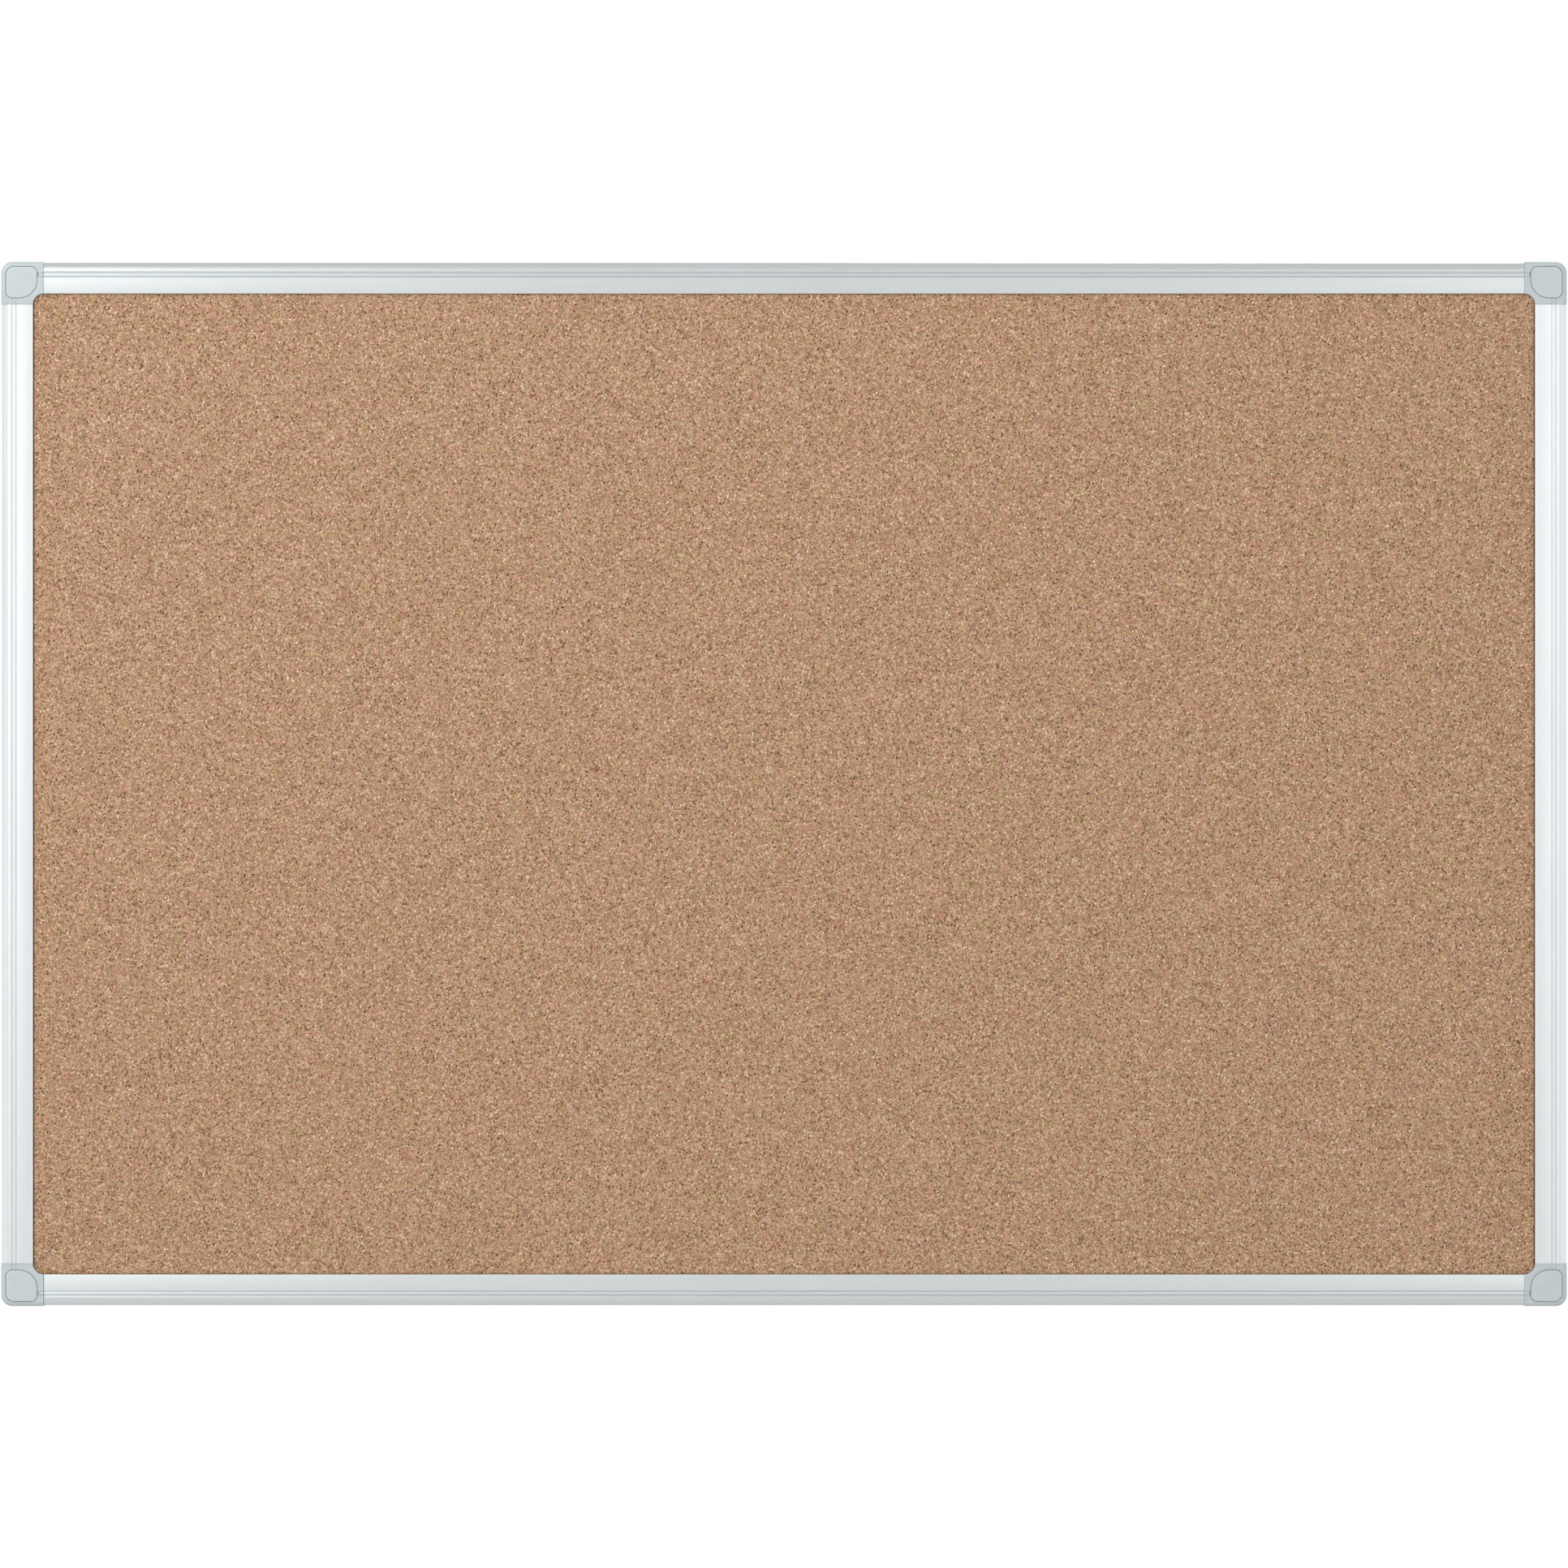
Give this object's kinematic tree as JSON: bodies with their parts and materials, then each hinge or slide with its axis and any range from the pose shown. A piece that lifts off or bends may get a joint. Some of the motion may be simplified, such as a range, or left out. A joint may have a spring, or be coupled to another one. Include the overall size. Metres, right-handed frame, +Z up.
{
  "type": "cork bulletin board",
  "caption": "Wall-mounted cork pinboard: aluminium frame, cork-faced softboard panel, plastic corner brackets with pull-off screw covers.",
  "frame": {"origin": "middle of the board, in the plane of its back, which is the wall's surface", "axes": "+X along the board's width, to the right as seen from the front; +Y to the wall, so the cork faces -Y; +Z up"},
  "size_m": [0.9008, 0.0155, 0.6008],
  "materials": {
    "aluminium": "satin silver anodised extrusion with fine lines along its length",
    "bracket": "light grey moulded ABS, satin",
    "cover": "light grey moulded ABS, satin",
    "cork": null,
    "core": "pressed wood-fibre softboard",
    "paper": "brown kraft backing paper",
    "zinc": "bright zinc-plated steel"
  },
  "bodies": {
    "board": {"frame_rail_top": "aluminium", "frame_rail_bottom": "aluminium", "frame_rail_left": "aluminium", "frame_rail_right": "aluminium", "cork_sheet": "cork", "softboard_core": "core", "backing_paper": "paper", "corner_bracket_top_left": "bracket", "corner_bracket_top_right": "bracket", "corner_bracket_bottom_left": "bracket", "corner_bracket_bottom_right": "bracket", "leg_screw_top_left_horizontal": "zinc", "leg_screw_top_left_vertical": "zinc", "leg_screw_top_right_horizontal": "zinc", "leg_screw_top_right_vertical": "zinc", "leg_screw_bottom_left_horizontal": "zinc", "leg_screw_bottom_left_vertical": "zinc", "leg_screw_bottom_right_horizontal": "zinc", "leg_screw_bottom_right_vertical": "zinc"},
    "cover_top_left": {"corner_cover_top_left": "cover"},
    "cover_top_right": {"corner_cover_top_right": "cover"},
    "cover_bottom_left": {"corner_cover_bottom_left": "cover"},
    "cover_bottom_right": {"corner_cover_bottom_right": "cover"}
  },
  "joints": [
    {"name": "cover_top_left_pull_off", "type": "slide", "parent": "board", "child": "cover_top_left", "axis": [0, -1, 0], "range_m": [0, 0.02]},
    {"name": "cover_top_right_pull_off", "type": "slide", "parent": "board", "child": "cover_top_right", "axis": [0, -1, 0], "range_m": [0, 0.02]},
    {"name": "cover_bottom_left_pull_off", "type": "slide", "parent": "board", "child": "cover_bottom_left", "axis": [0, -1, 0], "range_m": [0, 0.02]},
    {"name": "cover_bottom_right_pull_off", "type": "slide", "parent": "board", "child": "cover_bottom_right", "axis": [0, -1, 0], "range_m": [0, 0.02]}
  ]
}
